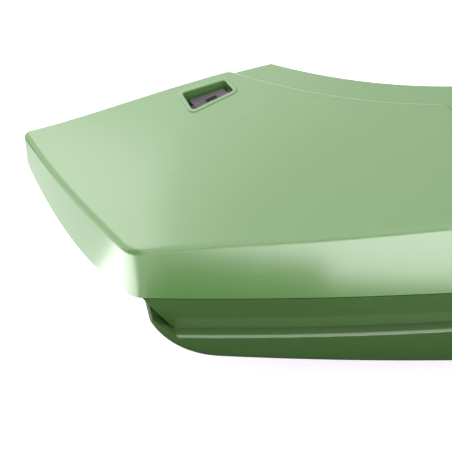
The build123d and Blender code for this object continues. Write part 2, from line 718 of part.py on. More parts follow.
def under_side(shrink=0.0):
    """Side view of the under cowl as a slab across the part: level ledge, raised rear end."""
    low_rear = (TAIL_X + UNDER_BEND, LEDGE_Z - UNDER_DROP_REAR)
    fall = (UNDER_DROP_FRONT - UNDER_DROP_REAR) / (LENGTH - UNDER_BEND)
    low_front = (FRONT_X + OVERRUN, LEDGE_Z - UNDER_DROP_FRONT - OVERRUN * fall)
    slope = (low_rear[0] - low_front[0], low_rear[1] - low_front[1])
    end_low = (UNDER_END_X, LEDGE_Z + UNDER_CURL - 3.0)
    end_top = (UNDER_END_X + 1.0, LEDGE_Z + UNDER_CURL)
    with BuildPart() as slab:
        with BuildSketch(Plane.XZ.offset(OVERRUN)):
            with BuildLine():
                Line(low_front, low_rear)
                TangentArc(low_rear, end_low, tangent=slope)
                Polyline(
                    end_low,
                    end_top,
                    (TRIM_END_LOW, LEDGE_Z),
                    (FRONT_X + OVERRUN, LEDGE_Z),
                    low_front,
                )
            make_face()
            if shrink:
                offset(amount=-shrink, kind=Kind.INTERSECTION, mode=Mode.REPLACE)
        extrude(amount=-WIDTH - OVERRUN / 2)
    return slab.part


def under_form(inset, shrink=0.0, rounding=0.0):
    """Solid form of the under cowl, moved inward, with its lower edge rounded or sharp."""
    lean = math.tan(math.radians(UNDER_DRAFT))
    reach = LEDGE_Z - 60.0
    with BuildPart() as form:
        add(leaning(inset - 15 * lean, LEDGE_Z + 15, reach, UNDER_DRAFT))
        add(under_side(shrink), mode=Mode.INTERSECT)
        outer = [e for e in form.edges().filter_by(GeomType.LINE, reverse=True)
                 if e.center().Y < CENTRE_Y / 2 and e.center().X < FRONT_X]
        if rounding:
            fillet(ShapeList(outer).sort_by(Axis.Z)[0], rounding)
            lip = [e for e in form.edges().filter_by(GeomType.LINE, reverse=True)
                   if e.center().Y < CENTRE_Y / 2 and abs(e.center().Z - LEDGE_Z) < 1]
            fillet(lip, UNDER_LIP)
    return form.part


def make_under_cowl():
    """Lower shell: ledge, leaning wall with a rounded lower edge, and a raised rear end."""
    with BuildPart() as under_cowl:
        add(under_form(UNDER_SET, rounding=UNDER_ROUND))
        add(under_form(UNDER_SET + UNDER_WALL, shrink=UNDER_WALL), mode=Mode.SUBTRACT)
        add(prism(skin_plan(LEDGE_DEPTH), LEDGE_Z - 80, LEDGE_Z + 30), mode=Mode.SUBTRACT)
        with BuildSketch(Plane.YZ.offset(FRONT_X)):
            Rectangle(4 * WIDTH, 400)
        extrude(amount=2 * OVERRUN, mode=Mode.SUBTRACT)
        for x in PUSH_STATIONS:
            with BuildSketch(side_plane(x, PUSH_LINE, LEDGE_Z)):
                Circle(PUSH_R + PUSH_HOLE_CLEAR)
            extrude(amount=-UNDER_WALL, mode=Mode.SUBTRACT)
        for x in RIVET_STATIONS:
            with BuildSketch(side_plane(x, PUSH_LINE, LEDGE_Z)):
                Circle(RIVET_R + THREAD_CLEAR)
            extrude(amount=-UNDER_WALL, mode=Mode.SUBTRACT)
    return under_cowl.part


# ---------------------------------------------------------------- hook well
def make_hook_housing():
    """Moulded cup under the well, with a flange, screw ears and two lugs for the hook's pin."""
    low = WELL_FLOOR - HOUSING_DEPTH
    with BuildPart() as hook_housing:
        add(well_prism(SHEET, low, WELL_FLOOR))
        add(well_prism(2 * SHEET + 1.5, WELL_FLOOR - SHEET, WELL_FLOOR))
        for u in HOUSING_SCREWS:
            with BuildSketch(well_plane(WELL_FLOOR - SHEET)):
                with Locations((u, 0)):
                    Circle(SMALL_HEAD_R + 1.5)
                with Locations((u * 0.8, 0)):
                    Rectangle(abs(u) * 0.4, 2 * SMALL_HEAD_R + 3)
            extrude(amount=SHEET)
        add(well_prism(0, low + SHEET, WELL_FLOOR + 1), mode=Mode.SUBTRACT)
        for side in (-1, 1):
            with BuildSketch(well_plane(low + SHEET / 2)):
                with Locations((side * (HOOK_HALF + HOOK_SIDE + EAR / 2), PIN_V + 0.2)):
                    Rectangle(EAR, 4.8)
            extrude(amount=PIN_Z + 2.3 - low - SHEET / 2)
        with BuildSketch(pin_plane()):
            Circle(HOOK_PIN_R)
        extrude(amount=2 * PIN_HALF, mode=Mode.SUBTRACT)
        for u in HOUSING_SCREWS:
            with BuildSketch(well_plane(WELL_FLOOR - SHEET)):
                with Locations((u, 0)):
                    Circle(SMALL_SCREW_R + HOLE_CLEAR)
            extrude(amount=SHEET, mode=Mode.SUBTRACT)
    return hook_housing.part


def pin_plane():
    """Plane across the hook's pin at its tail end, normal along the pin."""
    level = well_plane(PIN_Z)
    start = level.from_local_coords(Vector(-PIN_HALF, PIN_V, 0))
    return Plane(origin=start, x_dir=level.y_dir, z_dir=level.x_dir)


def make_hook_pin():
    """Plain steel pin, pressed into the housing's lugs."""
    with BuildPart() as hook_pin:
        with BuildSketch(pin_plane()):
            Circle(HOOK_PIN_R)
        extrude(amount=2 * PIN_HALF)
        chamfer(hook_pin.faces().sort_by(Axis.X)[0].edges(), 0.2)
    return hook_pin.part


def make_luggage_hook():
    """Fold-out hook: a flat plate on a barrel, with a cord groove below and room for its spring."""
    with BuildPart() as luggage_hook:
        with BuildSketch(well_plane(PIN_Z - HOOK_THICK / 2)):
            with BuildLine():
                Polyline(
                    (-HOOK_HALF, PIN_V),
                    (HOOK_HALF, PIN_V),
                    (HOOK_HALF, well_far(HOOK_HALF) - HOOK_GAP),
                    (-HOOK_HALF, well_far(-HOOK_HALF) - HOOK_GAP),
                    close=True,
                )
            make_face()
        extrude(amount=HOOK_THICK)
        upright = Axis(well_plane(PIN_Z).origin, well_plane(PIN_Z).z_dir)
        across = Axis(well_plane(PIN_Z).origin, well_plane(PIN_Z).y_dir)
        fillet(luggage_hook.edges().filter_by(upright).sort_by(across)[-2:], 1.5)
        fillet(luggage_hook.faces().sort_by(upright)[-1].edges(), 0.7)
        with BuildSketch(pin_plane().offset(EAR + HOOK_SIDE)):
            Circle(HOOK_THICK / 2 + 0.3)
        extrude(amount=2 * HOOK_HALF)
        with BuildSketch(pin_plane()):
            Circle(HOOK_PIN_R + HOOK_CLEAR)
        extrude(amount=2 * PIN_HALF, mode=Mode.SUBTRACT)
        with BuildSketch(well_plane(PIN_Z - 5)):
            with Locations((0, PIN_V)):
                Rectangle(2 * SPRING_HALF + 1, 6)
        extrude(amount=10, mode=Mode.SUBTRACT)
        groove = well_plane(PIN_Z - HOOK_THICK / 2).from_local_coords(Vector(-HOOK_HALF, 2.0, 0))
        with BuildSketch(Plane(origin=groove, x_dir=pin_plane().x_dir, z_dir=pin_plane().z_dir)):
            Circle(CORD_GROOVE_R)
        extrude(amount=2 * HOOK_HALF, mode=Mode.SUBTRACT)
    return luggage_hook.part


def make_hook_spring():
    """Torsion spring round the pin, with a short leg at each end."""
    along = well_plane(0).x_dir
    start = pin_plane().origin + along * (PIN_HALF - SPRING_HALF)
    with BuildPart() as hook_spring:
        with BuildLine() as wire:
            Helix(pitch=2 * SPRING_HALF / SPRING_TURNS, height=2 * SPRING_HALF, radius=SPRING_R,
                  center=start, direction=along)
        line = wire.line
        with BuildSketch(Plane(origin=line @ 0, z_dir=line % 0)):
            Circle(SPRING_WIRE_R)
        sweep(path=line)
        with BuildSketch(Plane(origin=line @ 0, z_dir=(line % 0) * -1)):
            Circle(SPRING_WIRE_R)
        extrude(amount=2)
        with BuildSketch(Plane(origin=line @ 1, z_dir=line % 1)):
            Circle(SPRING_WIRE_R)
        extrude(amount=2)
    return hook_spring.part


def make_housing_screws():
    """Two small screws that hold the hook housing to its posts."""
    with BuildPart() as hook_housing_screws:
        for u in HOUSING_SCREWS:
            seat = well_plane(WELL_FLOOR - SHEET, up=-1)
            spot = seat.from_local_coords(Vector(u, 0, 0))
            add(pan_screw(Plane(origin=spot, x_dir=seat.x_dir, z_dir=seat.z_dir),
                          SMALL_SCREW_R, SHEET + THREAD_REACH, SMALL_HEAD_R, SMALL_HEAD))
    return hook_housing_screws.part


# ---------------------------------------------------------------- fasteners of the covers
def make_rail_screws():
    """Screws that clamp the rail's pads up to the flank's posts."""
    with BuildPart() as rail_screws:
        for place in rail_post_places():
            under = flank_height(place.X, place.Y) - PAD_DROP - WASHER
            add(pan_screw(Plane(origin=(place.X, place.Y, under), x_dir=(1, 0, 0), z_dir=(0, 0, -1)),
                          SMALL_SCREW_R, WASHER + THREAD_REACH, SMALL_HEAD_R, SMALL_HEAD))
    return rail_screws.part


def make_rail_washers():
    """Wide washers under those screws."""
    with BuildPart() as rail_washers:
        for place in rail_post_places():
            under = flank_height(place.X, place.Y) - PAD_DROP
            add(washer(Plane(origin=(place.X, place.Y, under), x_dir=(1, 0, 0), z_dir=(0, 0, -1)),
                       SMALL_SCREW_R + HOLE_CLEAR))
    return rail_washers.part


def make_trim_screws():
    """Screws that draw the lower trim up to the band's flange."""
    length = SHEET + SHUT_GAP + SHEET + CLIP_SHEET + SCREW_OVER
    with BuildPart() as trim_screws:
        for x in SCREW_STATIONS:
            add(pan_screw(side_plane(x, FLANGE_MID, TRIM_TOP - SHEET, up=-1), SCREW_R, length,
                          SCREW_HEAD_R, SCREW_HEAD))
    return trim_screws.part


def make_clip_nuts():
    """Spring clip nuts pushed over the inner edge of the band's flange."""
    back = FLANGE - FLANGE_MID + THREAD_CLEAR
    with BuildPart() as clip_nuts:
        for x in SCREW_STATIONS:
            low = side_plane(x, FLANGE_MID, BAND_FLOOR - CLIP_SHEET)
            with BuildSketch(low):
                with Locations((0, (back + CLIP_SHEET - CLIP_FRONT) / 2)):
                    Rectangle(CLIP_WIDTH, back + CLIP_SHEET + CLIP_FRONT)
            extrude(amount=SHEET + 2 * CLIP_SHEET)
            with BuildSketch(low.offset(CLIP_SHEET)):
                with Locations((0, (back - CLIP_FRONT) / 2)):
                    Rectangle(CLIP_WIDTH + 2, back + CLIP_FRONT)
            extrude(amount=SHEET, mode=Mode.SUBTRACT)
            with BuildSketch(low.offset(SHEET + 2 * CLIP_SHEET)):
                Circle(SCREW_R + CLIP_COLLAR_WALL)
            extrude(amount=CLIP_COLLAR)
            with BuildSketch(low):
                Circle(SCREW_R + THREAD_CLEAR)
            extrude(amount=SHEET + 2 * CLIP_SHEET + CLIP_COLLAR, mode=Mode.SUBTRACT)
    return clip_nuts.part


def make_push_clip_bodies():
    """Split shanks of the push clips, through the ledge and the trim's lower flange."""
    with BuildPart() as push_clip_bodies:
        for x in PUSH_STATIONS:
            base = side_plane(x, PUSH_LINE, LEDGE_Z - UNDER_WALL)
            top = UNDER_WALL + SHEET + PUSH_GRIP
            with BuildSketch(base):
                Circle(PUSH_FLANGE_R)
            extrude(amount=-PUSH_FLANGE)
            with BuildSketch(base):
                Circle(PUSH_R)
            extrude(amount=top)
            with BuildSketch(base.offset(-PUSH_FLANGE)):
                Circle(PUSH_PIN_R + 1.4)
            extrude(amount=PUSH_RECESS, mode=Mode.SUBTRACT)
            with BuildSketch(base.offset(-PUSH_FLANGE)):
                Circle(PUSH_PIN_R + PUSH_CLEAR)
            extrude(amount=PUSH_FLANGE + top, mode=Mode.SUBTRACT)
            with BuildSketch(base.offset(UNDER_WALL)):
                Rectangle(3 * PUSH_R, 0.8)
                Rectangle(0.8, 3 * PUSH_R)
            extrude(amount=top, mode=Mode.SUBTRACT)
    return push_clip_bodies.part


def make_push_clip_pin(x):
    """Centre pin of a push clip: pulled down to free the clip, pushed home to spread it."""
    base = side_plane(x, PUSH_LINE, LEDGE_Z - UNDER_WALL - PUSH_FLANGE)
    with BuildPart() as pin:
        with BuildSketch(base):
            Circle(PUSH_PIN_R + 1.2)
        extrude(amount=PUSH_RECESS - 0.1)
        with BuildSketch(base):
            Circle(PUSH_PIN_R)
        extrude(amount=PUSH_FLANGE + UNDER_WALL + SHEET + PUSH_GRIP - 0.5)
        chamfer(pin.faces().sort_by(Axis.Z)[-1].edges(), 0.5)
    return pin.part


# ---------------------------------------------------------------- mounts
def make_mount_grommets():
    """Rubber grommets in the front lug and in the rail's cup."""
    half = COLLAR_LENGTH / 2
    with BuildPart() as mount_grommets:
        for seat in (FRONT_MOUNT, rail_mount_plane()):
            with BuildSketch(seat.offset(-half)):
                Circle(GROMMET_R)
            extrude(amount=COLLAR_LENGTH - COLLAR_FLANGE)
            with BuildSketch(seat.offset(-COLLAR_FLANGE / 2 - LUG / 2)):
                Circle(GROMMET_R + 1)
                Circle(GROMMET_GROOVE_R, mode=Mode.SUBTRACT)
            extrude(amount=LUG, mode=Mode.SUBTRACT)
            with BuildSketch(seat.offset(-half)):
                Circle(COLLAR_R)
            extrude(amount=COLLAR_LENGTH, mode=Mode.SUBTRACT)
    return mount_grommets.part


def make_mount_collars():
    """Flanged steel collars in the grommets."""
    half = COLLAR_LENGTH / 2
    with BuildPart() as mount_collars:
        for seat in (FRONT_MOUNT, rail_mount_plane()):
            with BuildSketch(seat.offset(-half)):
                Circle(COLLAR_R)
            extrude(amount=COLLAR_LENGTH)
            with BuildSketch(seat.offset(half - COLLAR_FLANGE)):
                Circle(COLLAR_FLANGE_R)
            extrude(amount=COLLAR_FLANGE)
            with BuildSketch(seat.offset(-half)):
                Circle(MOUNT_BORE_R)
            extrude(amount=COLLAR_LENGTH, mode=Mode.SUBTRACT)
    return mount_collars.part


def make_stay_bracket():
    """Bent steel stay on the centre-line tab, with a hole for the tail frame's bolt."""
    low = STAY_LOW - STAY_FOOT
    high = STAY_LOW + 2 * STAY_BOLT_RISE - 1
    with BuildPart() as stay_bracket:
        with BuildSketch(Plane.XZ.offset(-CENTRE_Y + SHEET)):
            with Locations((STAY_X, (low + high) / 2)):
                Rectangle(2 * STAY_HALF - 2, high - low)
        extrude(amount=STAY)
        with BuildSketch(Plane.XY.offset(low)):
            with Locations((STAY_X, STAY_INNER_Y + STAY - STAY_REACH / 2)):
                Rectangle(2 * STAY_HALF - 2, STAY_REACH)
        extrude(amount=STAY)
        inner = stay_bracket.edges().filter_by(Axis.X)
        fillet(inner.sort_by_distance((STAY_X, STAY_INNER_Y, low + STAY))[0], STAY_BEND)
        fillet(stay_bracket.edges().filter_by(Axis.Z).sort_by(Axis.Y)[:2], STAY_CORNER)
        with BuildSketch(Plane.XY.offset(low)):
            with Locations((STAY_X, STAY_INNER_Y - STAY_HOLE_IN)):
                Circle(STAY_HOLE_R)
        extrude(amount=STAY, mode=Mode.SUBTRACT)
        with BuildSketch(Plane.XZ.offset(-CENTRE_Y + SHEET)):
            with Locations(*STAY_BOLTS):
                Circle(STAY_BOLT_R + HOLE_CLEAR)
        extrude(amount=STAY, mode=Mode.SUBTRACT)
    return stay_bracket.part


def make_stay_bolts():
    """Two bolts through the tab and the stay."""
    with BuildPart() as stay_bolts:
        for x, z in STAY_BOLTS:
            seat = Plane(origin=(x, CENTRE_Y, z), x_dir=(1, 0, 0), z_dir=(0, 1, 0))
            add(pan_screw(seat, STAY_BOLT_R, SHEET + STAY + 1.15 * STAY_NUT, STAY_HEAD_R, STAY_HEAD))
    return stay_bolts.part


def make_stay_nuts():
    """Hexagon nuts on those bolts."""
    with BuildPart() as stay_nuts:
        for x, z in STAY_BOLTS:
            seat = Plane(origin=(x, STAY_INNER_Y, z), x_dir=(1, 0, 0), z_dir=(0, -1, 0))
            with BuildSketch(seat):
                RegularPolygon(radius=STAY_HEAD_R, side_count=6)
                Circle(STAY_BOLT_R + THREAD_CLEAR, mode=Mode.SUBTRACT)
            extrude(amount=STAY_NUT)
    return stay_nuts.part


# ---------------------------------------------------------------- shield, pads and seal
def strip(outer_inset, inner_inset, x_low, x_high, low, high):
    """Upright strip that follows the side between two stations and two heights."""
    with BuildPart() as band:
        with BuildSketch(Plane.XY.offset(low)):
            add(skin_plan(outer_inset))
            add(skin_plan(inner_inset), mode=Mode.SUBTRACT)
            with Locations(((x_low + x_high) / 2, SIDE_Y + 30)):
                Rectangle(x_high - x_low, 90, mode=Mode.INTERSECT)
        extrude(amount=high - low)
    return band.part


def make_heat_shield():
    """Bent aluminium sheet that hangs from the ledge, behind the under cowl's wall."""
    top = LEDGE_Z - UNDER_WALL
    x_low = RIVET_STATIONS[-1] - SHIELD_SIDE
    x_high = RIVET_STATIONS[0] + SHIELD_SIDE
    with BuildPart() as heat_shield:
        add(strip(PUSH_LINE - 4, LEDGE_DEPTH + 0.5 + SHIELD, x_low, x_high, top - SHIELD, top))
        add(strip(LEDGE_DEPTH + 0.5, LEDGE_DEPTH + 0.5 + SHIELD, x_low, x_high, top - SHIELD_DROP, top))
        for x in RIVET_STATIONS:
            with BuildSketch(side_plane(x, PUSH_LINE, top - SHIELD)):
                Circle(RIVET_R + THREAD_CLEAR)
            extrude(amount=SHIELD, mode=Mode.SUBTRACT)
    return heat_shield.part


def make_shield_rivets():
    """Rivets through the trim's flange, the ledge and the shield."""
    grip = SHEET + UNDER_WALL + SHIELD
    with BuildPart() as heat_shield_rivets:
        for x in RIVET_STATIONS:
            base = side_plane(x, PUSH_LINE, LEDGE_Z + SHEET - grip)
            with BuildSketch(base):
                Circle(RIVET_R)
            extrude(amount=grip)
            with BuildSketch(base.offset(grip)):
                Circle(2 * RIVET_R)
            extrude(amount=1.0)
            with BuildSketch(base):
                Circle(1.8 * RIVET_R)
            extrude(amount=-1.0)
    return heat_shield_rivets.part


def make_foam_pads():
    """Self-adhesive foam pads inside the band, against rattle."""
    with BuildPart() as foam_pads:
        for ahead in PAD_AHEAD:
            start = TAIL_X + ahead
            add(strip(SKIN, SKIN + PAD_THICK, start, start + PAD_LENGTH, PAD_LOW, PAD_HIGH))
    return foam_pads.part


def make_front_seal():
    """Rubber strip inside the band's front end, which rests on the next cover."""
    front = FRONT_X - 1
    top = flank_height(front, SIDE_Y + SKIN) - SEAL_UNDER
    with BuildPart() as front_seal:
        add(strip(SKIN, SKIN + SEAL_THICK, front - SEAL_WIDTH, front, BAND_FLOOR + SHEET + 1, top))
    return front_seal.part


# ---------------------------------------------------------------- build and write
def main():
    """Make every piece and write one STEP file for each."""
    makers = {
        "side_cowl": make_side_cowl,
        "seat_edge_rail": make_seat_edge_rail,
        "lower_trim": make_lower_trim,
        "under_cowl": make_under_cowl,
        "hook_housing": make_hook_housing,
        "luggage_hook": make_luggage_hook,
        "hook_pin": make_hook_pin,
        "hook_spring": make_hook_spring,
        "hook_housing_screws": make_housing_screws,
        "rail_screws": make_rail_screws,
        "rail_washers": make_rail_washers,
        "trim_screws": make_trim_screws,
        "clip_nuts": make_clip_nuts,
        "push_clip_bodies": make_push_clip_bodies,
        "mount_grommets": make_mount_grommets,
        "mount_collars": make_mount_collars,
        "stay_bracket": make_stay_bracket,
        "stay_bolts": make_stay_bolts,
        "stay_nuts": make_stay_nuts,
        "heat_shield": make_heat_shield,
        "heat_shield_rivets": make_shield_rivets,
        "foam_pads": make_foam_pads,
        "front_seal": make_front_seal,
    }
    pieces = {name: make() for name, make in makers.items()}
    for number, x in enumerate(PUSH_STATIONS, start=1):
        pieces["push_clip_pin_" + str(number)] = make_push_clip_pin(x)
    os.makedirs("parts", exist_ok=True)
    for name, piece in pieces.items():
        piece.label = name
        export_step(piece, "parts/" + name + ".step")


main()
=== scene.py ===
# %% [markdown]
# # A motorcycle's painted side cowl
# The part is the right-hand cover of a motorcycle's tail: a large green skin, a recessed trim
# strip under it, a curved under cowl, a seat edge rail and a small fold-out luggage hook.
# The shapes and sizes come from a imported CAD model, in metres, and this lesson gives them
# their finishes, their soft pieces, their light and their camera. The frame is loaded first,
# and its box is kept, because nothing made later may reach far outside it.

# %% Load the fixed frame
import math

import bmesh
import bpy
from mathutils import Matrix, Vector, noise


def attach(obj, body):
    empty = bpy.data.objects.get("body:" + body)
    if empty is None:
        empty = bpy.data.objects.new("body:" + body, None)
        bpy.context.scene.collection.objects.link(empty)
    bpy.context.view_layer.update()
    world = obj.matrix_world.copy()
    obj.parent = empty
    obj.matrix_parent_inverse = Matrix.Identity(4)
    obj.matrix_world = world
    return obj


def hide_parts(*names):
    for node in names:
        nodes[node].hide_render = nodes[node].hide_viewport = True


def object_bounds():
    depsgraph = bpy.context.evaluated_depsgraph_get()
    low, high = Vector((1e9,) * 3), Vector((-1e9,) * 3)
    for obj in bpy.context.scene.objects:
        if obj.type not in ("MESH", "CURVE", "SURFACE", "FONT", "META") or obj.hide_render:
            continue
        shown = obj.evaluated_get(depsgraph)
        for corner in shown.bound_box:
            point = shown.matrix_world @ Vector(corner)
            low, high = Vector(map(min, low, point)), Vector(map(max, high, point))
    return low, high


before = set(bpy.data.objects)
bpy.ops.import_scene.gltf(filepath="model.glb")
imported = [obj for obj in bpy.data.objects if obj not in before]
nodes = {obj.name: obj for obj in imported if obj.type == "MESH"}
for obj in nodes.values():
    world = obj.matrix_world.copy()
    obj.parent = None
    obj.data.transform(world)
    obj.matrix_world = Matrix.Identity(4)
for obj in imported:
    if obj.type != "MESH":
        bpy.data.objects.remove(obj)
cad_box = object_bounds()
print("nodes:", len(nodes), "box:", [round(x, 4) for corner in cad_box for x in corner])

# %% [markdown]
# ## Writing shaders as arithmetic
# A material is a small program drawn as nodes, and long chains of Math nodes are hard to read.
# A wrapper class round one output socket lets Python's operators add those nodes, so a mask
# can be written as `1 - mask * 0.5`. Colours have to go through Mix nodes and directions
# through Vector Math, because a Math node would turn them into one grey number.

# %% A socket that can be calculated with
class Wire:
    """One output socket of a node, usable in expressions on values."""

    def __init__(self, maker, socket):
        self.maker = maker
        self.socket = socket

    def _math(self, operation, first, second, clamp=False):
        settings = {"operation": operation, "use_clamp": clamp}
        return self.maker.add("ShaderNodeMath", settings, {0: first, 1: second})["Value"]

    def __add__(self, other):
        return self._math("ADD", self, other)

    def __radd__(self, other):
        return self._math("ADD", other, self)

    def __sub__(self, other):
        return self._math("SUBTRACT", self, other)

    def __rsub__(self, other):
        return self._math("SUBTRACT", other, self)

    def __mul__(self, other):
        return self._math("MULTIPLY", self, other)

    def __rmul__(self, other):
        return self._math("MULTIPLY", other, self)

    def clamped(self):
        """The same value, held between 0 and 1."""
        return self._math("ADD", self, 0.0, clamp=True)

    def rising(self, start, end, low=0.0, high=1.0):
        """low before start, high after end, and a smooth step between them."""
        settings = {"interpolation_type": "SMOOTHSTEP"}
        given = {"Value": self, "From Min": start, "From Max": end, "To Min": low, "To Max": high}
        return self.maker.add("ShaderNodeMapRange", settings, given)["Result"]


class Outputs:
    """The outputs of one node, by name."""

    def __init__(self, maker, node):
        self.maker = maker
        self.node = node

    def __getitem__(self, name):
        return Wire(self.maker, self.node.outputs[name])


print("sockets can be added, subtracted and multiplied")

# %% [markdown]
# ## One way to add a node
# Every other node is added by one method, which takes its type, its settings and the values or
# links of its sockets. The room has a node tree too, so the method belongs to trees in general,
# and a material's tree adds the few helpers that finishes need.

# %% Node trees and finishes
class NodeTree:
    """The empty node tree of a material or of the room, to be filled."""

    def __init__(self, owner):
        owner.use_nodes = True
        self.tree = owner.node_tree
        self.tree.nodes.clear()

    def add(self, kind, settings=None, given=None):
        """A node of one kind: its settings first, then the values or links of its sockets."""
        node = self.tree.nodes.new(kind)
        for key, value in (settings or {}).items():
            setattr(node, key, value)
        for key, value in (given or {}).items():
            if isinstance(value, Wire):
                self.tree.links.new(value.socket, node.inputs[key])
            else:
                node.inputs[key].default_value = value
        return Outputs(self, node)


class Finish(NodeTree):
    """A material under construction."""

    def __init__(self, name):
        self.material = bpy.data.materials.new(name)
        super().__init__(self.material)
        self.place = self.add("ShaderNodeTexCoord")["Object"]

    def noise(self, scale, detail=2.0, roughness=0.5, place=None, distortion=0.0):
        """Cloudy values round 0.5; scale is how many clouds fit in a metre."""
        given = {"Vector": place or self.place, "Scale": scale, "Detail": detail,
                 "Roughness": roughness, "Distortion": distortion}
        return self.add("ShaderNodeTexNoise", None, given)["Fac"]

    def stretched(self, scale, turn=(0.0, 0.0, 0.0)):
        """The place on the object, turned and then scaled along each axis."""
        given = {"Vector": self.place, "Rotation": turn, "Scale": scale}
        return self.add("ShaderNodeMapping", {"vector_type": "POINT"}, given)["Vector"]

    def along(self, vector, direction):
        """How far a vector points in a direction."""
        settings = {"operation": "DOT_PRODUCT"}
        return self.add("ShaderNodeVectorMath", settings, {0: vector, 1: direction})["Value"]

    def normal(self):
        """The direction that the surface faces."""
        return self.add("ShaderNodeNewGeometry")["Normal"]

    def blend(self, share, first, second):
        """The first colour where share is 0 and the second where it is 1."""
        given = {0: share, 6: first, 7: second}
        node = self.add("ShaderNodeMix", {"data_type": "RGBA"}, given).node
        return Wire(self, node.outputs[2])

    def relief(self, height, depth, under=None):
        """A Bump node: height is 0 to 1 and depth is in metres."""
        given = {"Height": height, "Distance": depth, "Strength": 1.0}
        if under is not None:
            given["Normal"] = under
        return self.add("ShaderNodeBump", None, given)["Normal"]

    def surface(self, **given):
        """The shader itself; sockets are named with underscores for spaces."""
        sockets = {key.replace("_", " "): value for key, value in given.items()}
        shader = self.add("ShaderNodeBsdfPrincipled", None, sockets)
        self.add("ShaderNodeOutputMaterial", None, {"Surface": shader["BSDF"]})
        return self.material


def colour(red, green, blue):
    """An opaque colour."""
    return (red, green, blue, 1.0)


def tinted(base, factor, lift=0.0):
    """A colour made brighter or darker by a factor, and lifted by a little grey."""
    return colour(*[min(1.0, c * factor + lift) for c in base])


print("shader helpers ready")

# %% [markdown]
# ## Wear that every finish shares
# Used bodywork isn't uniform: handling leaves hairline scratches, wiping leaves faint cloudy
# smears, and dust sits as pale specks. All three are masks from 0 to 1. A scratch is the thin
# zero line of a stretched noise, which is cheaper than a picture of scratches and never
# repeats, and a speck is the centre of a Voronoi cell that a second noise lets through.

# %% Masks for scratches, smears and specks
def scratches(finish, turn, length=9.0, fineness=420.0, width=0.012):
    """Thin lines of one direction, broken up along their length."""
    lane = finish.stretched((length, fineness, fineness * 0.6), turn)
    line = finish.noise(1.0, detail=1.0, place=lane, distortion=0.15) - 0.5
    thin = 1 - (line * line).rising(0.0, width * width)
    gaps = finish.noise(31.0, detail=2.0).rising(0.56, 0.68)
    return thin * gaps


def smears(finish, scale=14.0):
    """Cloudy variation such as a cloth leaves."""
    return finish.noise(scale, detail=4.0, roughness=0.6, distortion=0.6).rising(0.35, 0.75)


def specks(finish, scale=160.0, size=0.07, share=0.62):
    """Small round dots, scattered unevenly."""
    cells = finish.add("ShaderNodeTexVoronoi", None, {"Vector": finish.place, "Scale": scale})
    dot = 1 - cells["Distance"].rising(size * 0.4, size)
    return dot * finish.noise(23.0, detail=1.0).rising(share, share + 0.04)


print("wear masks ready")

# %% [markdown]
# ## The green paint
# Such covers are moulded in plastic and sprayed with a satin single-stage green. The colour
# itself is nearly flat. What shows is the way it answers the light: a soft, broad highlight,
# a very fine orange-peel ripple from the spray gun, and a roughness that wanders a little.
# The inside of a real cover is bare grey-green moulding with overspray near its edges, so a
# mask from the surface direction turns the paint to raw plastic on the faces that look inward.
# The lower trim and under cowl get a darker copy of the same paint, which is painted shade.

# %% Paint and its bare inside
PAINT = (0.080, 0.215, 0.036)
PAINT_PALE = (0.19, 0.38, 0.125)
BARE = (0.035, 0.04, 0.034)
OUTWARD = (-0.32, -0.62, 0.71)      # the way that the painted side faces
PAINT_EDGE = (-0.22, 0.1)           # how far inward a face may turn before the paint runs out
SPRAY_RIPPLE = 0.000012             # depth of the orange peel, and of a scratch in it
BARE_ROUGHER = 0.32                 # bare moulding is duller than the paint by this much


def green_paint(name, strength=1.0, rough=0.27):
    """Satin paint outside, bare moulding inside; a strength below 1 darkens the whole paint as
    painted shade.
    """
    finish = Finish(name)
    facing = finish.along(finish.normal(), OUTWARD)
    cloud = finish.noise(5.0, detail=3.0)
    shade = finish.blend(cloud * 0.25, tinted(PAINT, strength), tinted(PAINT, strength * 1.16))
    marks = (scratches(finish, (0.0, 0.0, 0.5))
             + scratches(finish, (0.3, 0.2, 2.2), length=7.0, fineness=500.0)).clamped()
    dust = specks(finish)
    worn = finish.blend((marks * 0.16 + dust * 0.55).clamped(), shade, colour(*PAINT_PALE))
    grain = finish.noise(900.0, detail=2.0)
    bare = finish.blend(grain * 0.5 + smears(finish) * 0.3, colour(*BARE), tinted(BARE, 1.7))
    overspray = finish.noise(60.0, detail=4.0) * 0.3
    painted = (facing + overspray).rising(*PAINT_EDGE)
    wander = finish.noise(70.0, detail=3.0) * 0.03
    dullness = rough + smears(finish) * 0.07 + marks * 0.12 + wander
    peel = finish.noise(420.0, detail=2.0, roughness=0.45)
    ripple = finish.relief(peel * 0.5 + finish.noise(95.0, detail=1.0) * 0.5, SPRAY_RIPPLE)
    return finish.surface(
        Base_Color=finish.blend(painted, bare, worn),
        Roughness=(1 - painted) * BARE_ROUGHER + dullness,
        Normal=finish.relief(1 - marks, SPRAY_RIPPLE, ripple),
        Coat_Weight=painted,
        Coat_Roughness=0.2,
        Coat_IOR=1.8,
        IOR=1.6,
    )


paint_top = green_paint("paint_cowl")
# The same paint at 0.62 of its brightness for the lower trim and under cowl: painted shade for
# faces that lean down under the band.
paint_low_shaded = green_paint("paint_lower_painted_shade", strength=0.62, rough=0.3)
print("made", paint_top.name, paint_low_shaded.name)

# %% [markdown]
# ## Mouldings, rubber and foam
# Black injection mouldings have a spark-eroded texture: tiny even pits that make the gloss
# patchy at close range. Rubber is darker, softer in its highlight and slightly dusty. Foam is
# cellular, so its bump comes from Voronoi cells and not from noise.

# %% Dark plastics, rubber and foam
def moulding(name, base, rough=0.5, pit=0.00003):
    """Textured plastic: pit is the depth of its grain in metres."""
    finish = Finish(name)
    grain = finish.noise(1500.0, detail=2.0)
    wipe = smears(finish, scale=26.0)
    tone = finish.blend(wipe * 0.6, colour(*base), tinted(base, 1.7, lift=0.006))
    rub = scratches(finish, (0.2, 0.4, 1.1), length=14.0, fineness=700.0)
    return finish.surface(
        Base_Color=finish.blend(rub * 0.25, tone, tinted(base, 2.5, lift=0.03)),
        Roughness=rough + grain * 0.12 - wipe * 0.07,
        Normal=finish.relief(grain, pit),
    )


